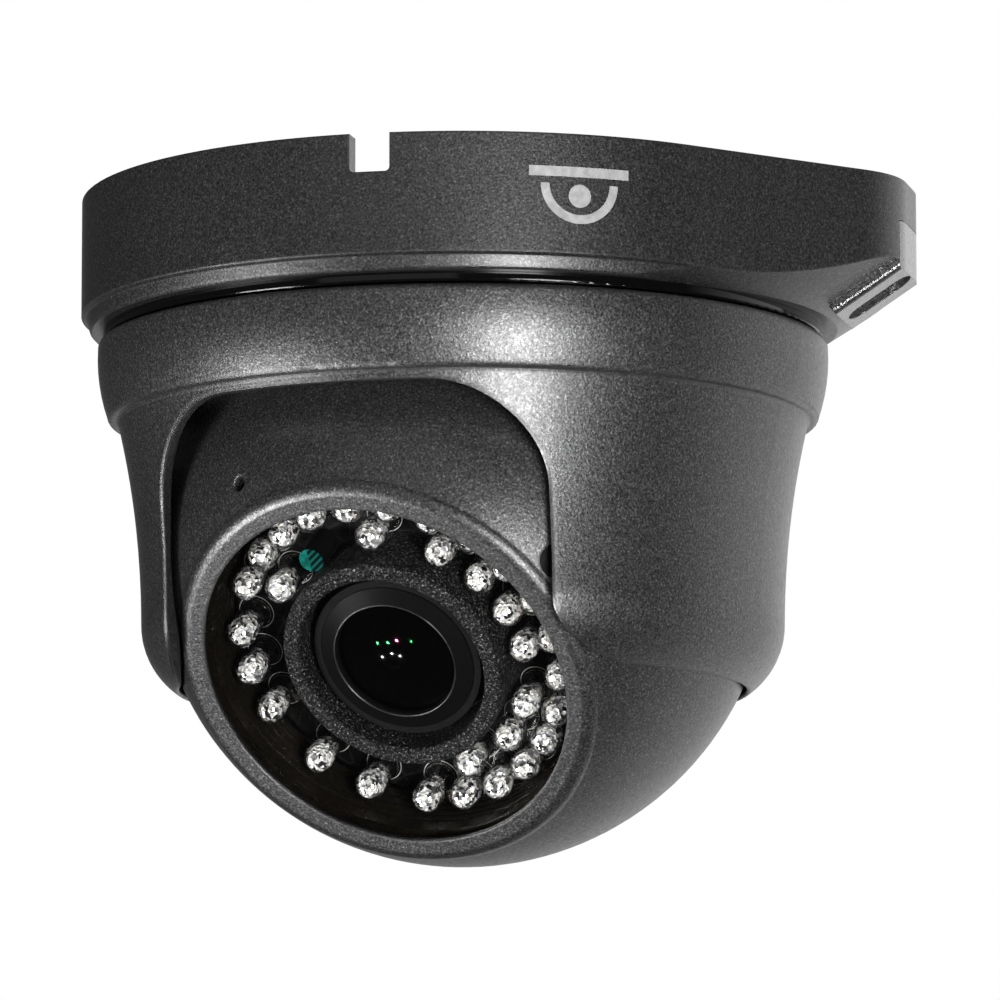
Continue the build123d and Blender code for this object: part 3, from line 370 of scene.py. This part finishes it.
def lathe(into, profile, steps=48, centre=(0.0, 0.0)):
    """Adds a closed solid of revolution to a bmesh; profile is (radius, height) pairs in mm."""
    loops = []
    for step in range(steps):
        turn = 2 * pi * step / steps
        loop = []
        for r, z in profile:
            place = Vector((centre[0] + r * cos(turn), centre[1] + r * sin(turn), z))
            loop.append(into.verts.new(place * MM))
        loops.append(loop)
    count = len(profile)
    for step in range(steps):
        here, there = loops[step], loops[(step + 1) % steps]
        for index in range(count):
            after = (index + 1) % count
            face = into.faces.new((here[index], there[index], there[after], here[after]))
            face.smooth = True


def to_mesh(name, built):
    mesh = bpy.data.meshes.new(name)
    bmesh.ops.remove_doubles(built, verts=built.verts, dist=1e-7)
    bmesh.ops.recalc_face_normals(built, faces=built.faces)
    built.to_mesh(mesh)
    built.free()
    return mesh


def bar(into, x_mid, y_mid, size_x, size_y, z_low, z_high):
    """Adds a small block to a bmesh, in mm."""
    made = bmesh.ops.create_cube(into, size=1.0)
    scale = Matrix.Diagonal((size_x * MM, size_y * MM, (z_high - z_low) * MM, 1.0))
    place = Matrix.Translation(Vector((x_mid, y_mid, (z_low + z_high) / 2)) * MM)
    bmesh.ops.transform(into, matrix=place @ scale, verts=made["verts"])


# ---------------------------------------------------------------- inside the LEDs

def islands(node_name):
    """Boxes of a node's separate solids in the ball's frame, in mm."""
    built = bmesh.new()
    built.from_mesh(frame["nodes"][node_name].data)
    bmesh.ops.remove_doubles(built, verts=built.verts, dist=1e-6)
    seen, boxes = set(), []
    for start in built.verts:
        if start.index in seen:
            continue
        seen.add(start.index)
        todo, places = [start], []
        while todo:
            vert = todo.pop()
            places.append(TO_BALL @ vert.co / MM)
            for edge in vert.link_edges:
                other = edge.other_vert(vert)
                if other.index not in seen:
                    seen.add(other.index)
                    todo.append(other)
        low = Vector(min(place[axis] for place in places) for axis in range(3))
        high = Vector(max(place[axis] for place in places) for axis in range(3))
        boxes.append((low, high))
    built.free()
    return boxes


# Inside of one LED, in mm; heights count from the foot of its dome. Each row of the core is a share of the
# LED's radius and a height.
LEAD_OUT = 1.1
LEAD_W, LEAD_D = 0.5, 0.9
LEAD_LOW, LEAD_HIGH = 0.1, 2.6
CHIP_W = 0.5
CHIP_LOW, CHIP_HIGH = 0.4, 1.6
CORE_ROWS = ((0.55, 1.6), (0.90, 2.8), (0.97, 4.6), (0.95, 6.4), (0.74, 7.6), (0.34, 8.3))
CORE_SIDES = 12
CORE_TWIST, CORE_DENT, CORE_LIFT = 0.22, 0.07, 0.16


def led_insides(node_name, name):
    """What shows through each LED's dome: the stamped cup and posts, swollen by the lens above them."""
    cores, posts, chips = bmesh.new(), bmesh.new(), bmesh.new()
    for index, (low, high) in enumerate(islands(node_name)):
        x, y = (low.x + high.x) / 2, (low.y + high.y) / 2
        base = low.z
        radius = (high.x - low.x) / 2
        core(cores, x, y, base, radius, index)
        out = Vector((x, y)).normalized() * LEAD_OUT
        for side in (-1, 1):
            bar(posts, x + side * out.x, y + side * out.y, LEAD_W, LEAD_D, base + LEAD_LOW, base + LEAD_HIGH)
        bar(chips, x, y, CHIP_W, CHIP_W, base + CHIP_LOW, base + CHIP_HIGH)
    cups = new_piece(f"{name}_cups", to_mesh(f"{name}_cups", cores), "camera_module", "led_epoxy", LED_FOIL_PAINTED_GLINTS)
    new_piece(f"{name}_posts", to_mesh(f"{name}_posts", posts), "camera_module", "screw_steel")
    new_piece(f"{name}_chips", to_mesh(f"{name}_chips", chips), "camera_module", "bronze")
    return cups


def core(into, x, y, base, radius, seed):
    """Bright, slightly dented core that fills a LED's dome; every LED's dents fall differently."""
    loops = []
    for row, (share, height) in enumerate(CORE_ROWS):
        loop = []
        for side in range(CORE_SIDES):
            wobble = sin(12.9 * side + 7.7 * row + 3.1 * seed)
            dent = 1 + sin(5.3 * side + 2.9 * row + 1.7 * seed)
            turn = 2 * pi * (side + 0.5 * (row % 2) + CORE_TWIST * wobble) / CORE_SIDES
            r = radius * share * (1 - CORE_DENT * dent)
            place = Vector((x + r * cos(turn), y + r * sin(turn), base + height + CORE_LIFT * wobble))
            loop.append(into.verts.new(place * MM))
        loops.append(loop)
    into.faces.new(loops[0])
    into.faces.new(loops[-1]).smooth = True
    for lower, upper in zip(loops, loops[1:]):
        for side in range(CORE_SIDES):
            after = (side + 1) % CORE_SIDES
            into.faces.new((lower[side], lower[after], upper[side])).smooth = True
            into.faces.new((lower[after], upper[after], upper[side])).smooth = True


# Printed circles round the LEDs, in mm
PRINT_GAP = 0.22
PRINT_LINE = 0.12
PRINT_T = 0.02


def silkscreen_rings():
    """Printed circles round the LEDs on the board."""
    built = bmesh.new()
    for node_name in ("ir_leds_outer", "ir_leds_inner"):
        for low, high in islands(node_name):
            x, y = (low.x + high.x) / 2, (low.y + high.y) / 2
            inner = (high.x - low.x) / 2 + PRINT_GAP
            outer = inner + PRINT_LINE
            top = low.z + PRINT_T
            lathe(built, [(inner, low.z), (outer, low.z), (outer, top), (inner, top)], 32, (x, y))
    new_piece("board_print", to_mesh("board_print", built), "camera_module", "nylon_white")


# Printed mark on the base, in mm and degrees
MARK_SINK, MARK_PROUD = 0.1, 0.03
MARK_AZIMUTH, MARK_Z = 30.4, -9.6
MARK_STEPS = 24


def print_strip(into, lower, upper, wall_r):
    """Thin printed band between two lines of (across, up) points in mm, laid on the base's round wall."""
    rows = []
    for points in (lower, upper):
        for radius in (wall_r - MARK_SINK, wall_r + MARK_PROUD):
            row = []
            for across, up in points:
                turn = radians(MARK_AZIMUTH) + across / wall_r
                place = Vector((radius * sin(turn), -radius * cos(turn), MARK_Z + up))
                row.append(into.verts.new(place * MM))
            rows.append(row)
    low_in, low_out, high_in, high_out = rows
    ring = (low_in, low_out, high_out, high_in)
    for first, second in zip(ring, ring[1:] + ring[:1]):
        for index in range(len(first) - 1):
            into.faces.new((first[index], first[index + 1], second[index + 1], second[index]))
    into.faces.new([row[0] for row in ring])
    into.faces.new([row[-1] for row in ring])


def printed_mark():
    """Plain dome-camera pictogram on the front of the base: a bar, a bowl under it and a dot."""
    wall_r = -min(vert.co.y for vert in frame["nodes"]["base_housing"].data.vertices) / MM
    built = bmesh.new()
    steps = [step / MARK_STEPS for step in range(MARK_STEPS + 1)]
    bar_half, bar_low, bar_high = 7.6, 3.2, 4.7
    line = [(2 * t - 1) * bar_half for t in steps]
    print_strip(built, [(u, bar_low) for u in line], [(u, bar_high) for u in line], wall_r)
    bowl_in, bowl_out, bowl_top = 4.6, 5.9, 2.2
    arc = [(cos(pi * (1 + t)), sin(pi * (1 + t))) for t in steps]
    print_strip(built, [(bowl_out * c, bowl_top + bowl_out * d) for c, d in arc],
                [(bowl_in * c, bowl_top + bowl_in * d) for c, d in arc], wall_r)
    dot_r, dot_up = 1.7, 0.4
    arc = [(-cos(pi * t), sin(pi * t)) for t in steps]
    print_strip(built, [(dot_r * c, dot_up - dot_r * d) for c, d in arc],
                [(dot_r * c, dot_up + dot_r * d) for c, d in arc], wall_r)
    new_piece("printed_mark", to_mesh("printed_mark", built), "base", "nylon_white", PRINT_GREY,
              Matrix.Identity(4))


# Rings of the lens, in mm: the rim's outline as radius and height from RIM_Z, and each baffle as its inner
# radius and height
RIM_Z = 30.3
RIM_OUTLINE = ((9.42, -0.3), (9.72, -0.05), (9.68, 0.06), (9.5, 0.06))
BAFFLES = ((7.3, 26.4), (6.3, 24.6), (5.2, 22.6))
BAFFLE_R = 8.15
BAFFLE_T = 0.7
BAFFLE_SLOPE = 0.5
RING_STEPS = 96


def lens_rings():
    """Thin metal rim round the front glass and the stepped black baffles behind it."""
    built = bmesh.new()
    lathe(built, [(r, RIM_Z + rise) for r, rise in RIM_OUTLINE], RING_STEPS)
    new_piece("lens_rim", to_mesh("lens_rim", built), "focus_ring", "screw_steel", RIM_METAL)
    built = bmesh.new()
    for inner, z in BAFFLES:
        top = z + BAFFLE_T
        lathe(built, [(inner, z), (BAFFLE_R, z), (BAFFLE_R, top), (inner + BAFFLE_SLOPE, top)], RING_STEPS)
    new_piece("lens_baffles", to_mesh("lens_baffles", built), "camera_module", "lens_plastic", LENS_FLOCK)


led_cups = [led_insides("ir_leds_outer", "outer_led"), led_insides("ir_leds_inner", "inner_led")]
silkscreen_rings()
printed_mark()
lens_rings()


# ---------------------------------------------------------------- room, light and camera

CAMERA_AT = (13.5, -8.0, 1.034)     # azimuth, elevation and distance from the ball
WHITE_SIDE = 150                    # azimuth towards which the room is white
ROOM_SHADES = ((0.47, 0.04), (0.88, 1.0))   # how squarely a wall lies on that side, and its shade
GLINT_DISTANCE = 0.8                # from the front glass to a glint's lamp


def direction(azimuth, elevation):
    a, e = radians(azimuth), radians(elevation)
    return Vector((sin(a) * cos(e), -cos(a) * cos(e), sin(e)))


def look(thing, place, target):
    thing.location = place
    thing.rotation_euler = (target - place).to_track_quat("-Z", "Y").to_euler()


def softbox(name, place, width, height, power, colour=(1.0, 1.0, 1.0)):
    light = bpy.data.lights.new(name, "AREA")
    light.shape = "RECTANGLE"
    light.size = width
    light.size_y = height
    light.energy = power
    light.color = colour
    holder = bpy.data.objects.new(name, light)
    holder.visible_camera = False
    bpy.context.scene.collection.objects.link(holder)
    look(holder, place, BALL_CENTRE)
    return holder


def around_ball(azimuth, elevation, distance):
    return BALL_CENTRE + direction(azimuth, elevation) * distance


def link_lamp(lamp, pieces, state):
    """Has a lamp light some pieces only ("INCLUDE"), or all but them ("EXCLUDE")."""
    receivers = bpy.data.collections.new(f"{lamp.name}_receivers")
    lamp.light_linking.receiver_collection = receivers
    for piece in pieces:
        receivers.objects.link(piece)
    for entry in receivers.collection_objects:
        entry.light_linking.link_state = state


def glint(name, across, up, size, power, colour=(1.0, 1.0, 1.0)):
    """Small lamp that mirrors as a point on the front glass, at a place in mm from its middle."""
    glass = [TO_BALL @ vert.co / MM for vert in frame["nodes"]["front_lens"].data.vertices]
    top = max(place.z for place in glass)
    rim_r = max(place.x for place in glass)
    hair, dome_depth = 0.01, 2
    rim = min(place.z for place in glass if place.x > rim_r - hair and place.z > top - dome_depth)
    bend = (rim_r ** 2 + (top - rim) ** 2) / (2 * (top - rim))
    spot = Vector((across, up, top - (across ** 2 + up ** 2) / (2 * bend)))
    normal = (spot - Vector((0, 0, top - bend))).normalized()
    spot_place = BALL_FRAME @ (spot * MM)
    facing = (BALL_FRAME.to_3x3() @ normal).normalized()
    view = (around_ball(*CAMERA_AT) - spot_place).normalized()
    mirrored = 2 * facing.dot(view) * facing - view
    lamp = softbox(name, spot_place + mirrored * GLINT_DISTANCE, size, size, power, colour)
    link_lamp(lamp, [frame["nodes"]["front_lens"]], "INCLUDE")


def white_room():
    """White to the camera; the object itself sees a dim room that opens to white on its far right."""
    world = bpy.data.worlds.new("room")
    bpy.context.scene.world = world
    world.use_nodes = True
    tree = world.node_tree
    background = tree.nodes["Background"]
    towards = tree.nodes.new("ShaderNodeTexCoord").outputs["Generated"]
    dot = tree.nodes.new("ShaderNodeVectorMath")
    dot.operation = "DOT_PRODUCT"
    tree.links.new(towards, dot.inputs[0])
    dot.inputs[1].default_value = direction(WHITE_SIDE, 0)
    ramp = tree.nodes.new("ShaderNodeValToRGB")
    for element, (position, shade) in zip(ramp.color_ramp.elements, ROOM_SHADES):
        element.position = position
        element.color = (shade, shade, shade, 1)
    tree.links.new(dot.outputs["Value"], ramp.inputs["Fac"])
    seen = tree.nodes.new("ShaderNodeMix")
    seen.data_type = "RGBA"
    tree.links.new(tree.nodes.new("ShaderNodeLightPath").outputs["Is Camera Ray"], seen.inputs[0])
    tree.links.new(ramp.outputs["Color"], seen.inputs[6])
    seen.inputs[7].default_value = (1, 1, 1, 1)
    tree.links.new(seen.outputs[2], background.inputs["Color"])


def floor():
    mesh = bpy.data.meshes.new("floor")
    size = 24.0
    z = -1.8
    corners = [(-size, -size, z), (size, -size, z), (size, size, z), (-size, size, z)]
    mesh.from_pydata(corners, [], [(0, 1, 2, 3)])
    paint_layer = plain("floor_paint", grey(0.85), 0.7, grain=20, depth=0.02)
    glow = paint_layer.node_tree.nodes["Principled BSDF"]
    glow.inputs["Emission Color"].default_value = (1, 1, 1, 1)
    glow.inputs["Emission Strength"].default_value = 0.72
    mesh.materials.append(paint_layer)
    piece = bpy.data.objects.new("floor", mesh)
    piece.visible_glossy = False
    piece.visible_diffuse = False
    bpy.context.scene.collection.objects.link(piece)


def camera():
    data = bpy.data.cameras.new("camera")
    data.sensor_width = 36.0
    data.lens = 244.2
    data.shift_x = 0.037
    data.shift_y = 0.0588
    data.clip_end = 50
    holder = bpy.data.objects.new("camera", data)
    bpy.context.scene.collection.objects.link(holder)
    look(holder, around_ball(*CAMERA_AT), BALL_CENTRE)
    bpy.context.scene.camera = holder


white_room()
floor()
softbox("key", around_ball(30, -14, 0.9), 0.23, 0.35, 8.8)
softbox("front_fill", around_ball(-10, 25, 1.5), 1.2, 0.8, 1.2)
left_key = softbox("left_key", around_ball(-56, -30, 1.0), 0.3, 0.3, 10.0)
link_lamp(left_key, [frame["nodes"]["front_lens"]], "EXCLUDE")
led_light = softbox("led_light", around_ball(0, -30, 0.9), 0.2, 0.2, 7.0)
link_lamp(led_light, led_cups, "INCLUDE")
for index, across in enumerate((-1.7, 0.0, 1.2)):
    glint(f"glint_white_{index}", across, 0.9 + 0.5 * (index % 2), 0.012, 0.4)
for index, across in enumerate((-1.9, -0.2, 3.6)):
    glint(f"glint_green_{index}", across, 3.2, 0.018, 0.2, (0.1, 1.0, 0.25))
glint("glint_magenta", 1.3, 3.5, 0.018, 1.2, (1.0, 0.12, 0.4))
camera()
bpy.context.scene.view_settings.view_transform = "Standard"
